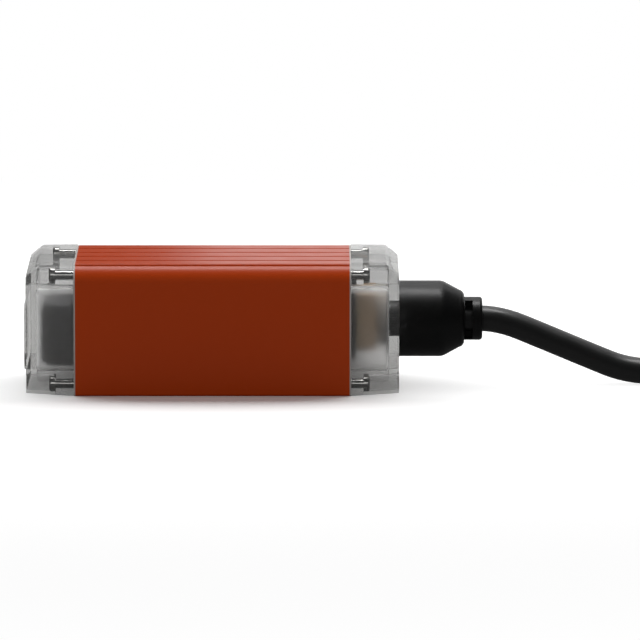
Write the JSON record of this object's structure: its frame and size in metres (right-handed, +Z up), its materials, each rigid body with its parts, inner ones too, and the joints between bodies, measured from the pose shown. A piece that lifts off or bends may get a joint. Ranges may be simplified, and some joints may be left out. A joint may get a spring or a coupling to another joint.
{
  "type": "embedded barcode reader",
  "caption": "Small embedded barcode reader: grooved extruded metal housing between clear end caps, with a reading window at one end and a moulded cable plug at the other.",
  "frame": {"origin": "middle of the reader's base, halfway along and across the housing with its end caps", "axes": "+X along the reader from the reading window towards the cable, +Y across it, +Z up from the base"},
  "size_m": [0.3012, 0.0727, 0.0363],
  "materials": {
    "housing_paint": "satin orange-red coat on extruded aluminium",
    "clear_cap": "clear moulded polycarbonate",
    "gasket_rubber": "pale translucent silicone sheet",
    "gasket_black": "black rubber ring",
    "screw_steel": "bright stainless steel",
    "optics_plastic": "matt dark grey moulding",
    "black_anodised": "black anodised aluminium",
    "lens_glass": "coated glass",
    "board_black": "black solder mask",
    "board_green": "green solder mask",
    "chip_black": "moulded chip package",
    "led_white": "white lamp package with clear dome",
    "brass": "turned brass",
    "amber_film": "polyimide film",
    "socket_tan": "tan heat-resistant moulding",
    "nickel": "nickel-plated metal",
    "moulded_black": "black flexible moulding with a soft sheen",
    "cable_jacket": "black flexible jacket",
    "tie_nylon": "black nylon strap",
    "tongue_white": "white insulator"
  },
  "bodies": {
    "root": {"housing_extrusion": "housing_paint", "window_gasket": "gasket_rubber", "cable_gasket": "gasket_rubber", "window_end_cap": "clear_cap", "cable_end_cap": "clear_cap", "window_cap_screws": "screw_steel", "cable_cap_screws": "screw_steel", "optics_housing": "optics_plastic", "illumination_board": "board_black", "illumination_leds": "led_white", "aimer_barrels": "brass", "lens_barrel": "black_anodised", "lens_elements": "lens_glass", "lens_mount": "optics_plastic", "sensor_board": "board_green", "image_sensor": "chip_black", "board_spacers": "brass", "sensor_board_screws": "screw_steel", "flex_ribbon": "amber_film", "flex_sockets": "socket_tan", "main_board": "board_green", "board_chips": "chip_black", "beeper": "chip_black", "board_header": "chip_black", "connector_board": "board_black", "status_leds": "led_white", "socket_body": "socket_tan", "socket_flange": "nickel", "port_seal": "gasket_black", "contact_pins": "brass", "plug_barrel": "nickel", "plug_insert": "chip_black", "plug_overmould": "moulded_black", "strain_relief": "moulded_black", "cable": "cable_jacket", "cable_hank": "cable_jacket", "hank_tie": "tie_nylon", "cable_tail": "cable_jacket", "usb_overmould": "moulded_black", "usb_shell": "nickel", "usb_tongue": "tongue_white"}
  },
  "joints": []
}
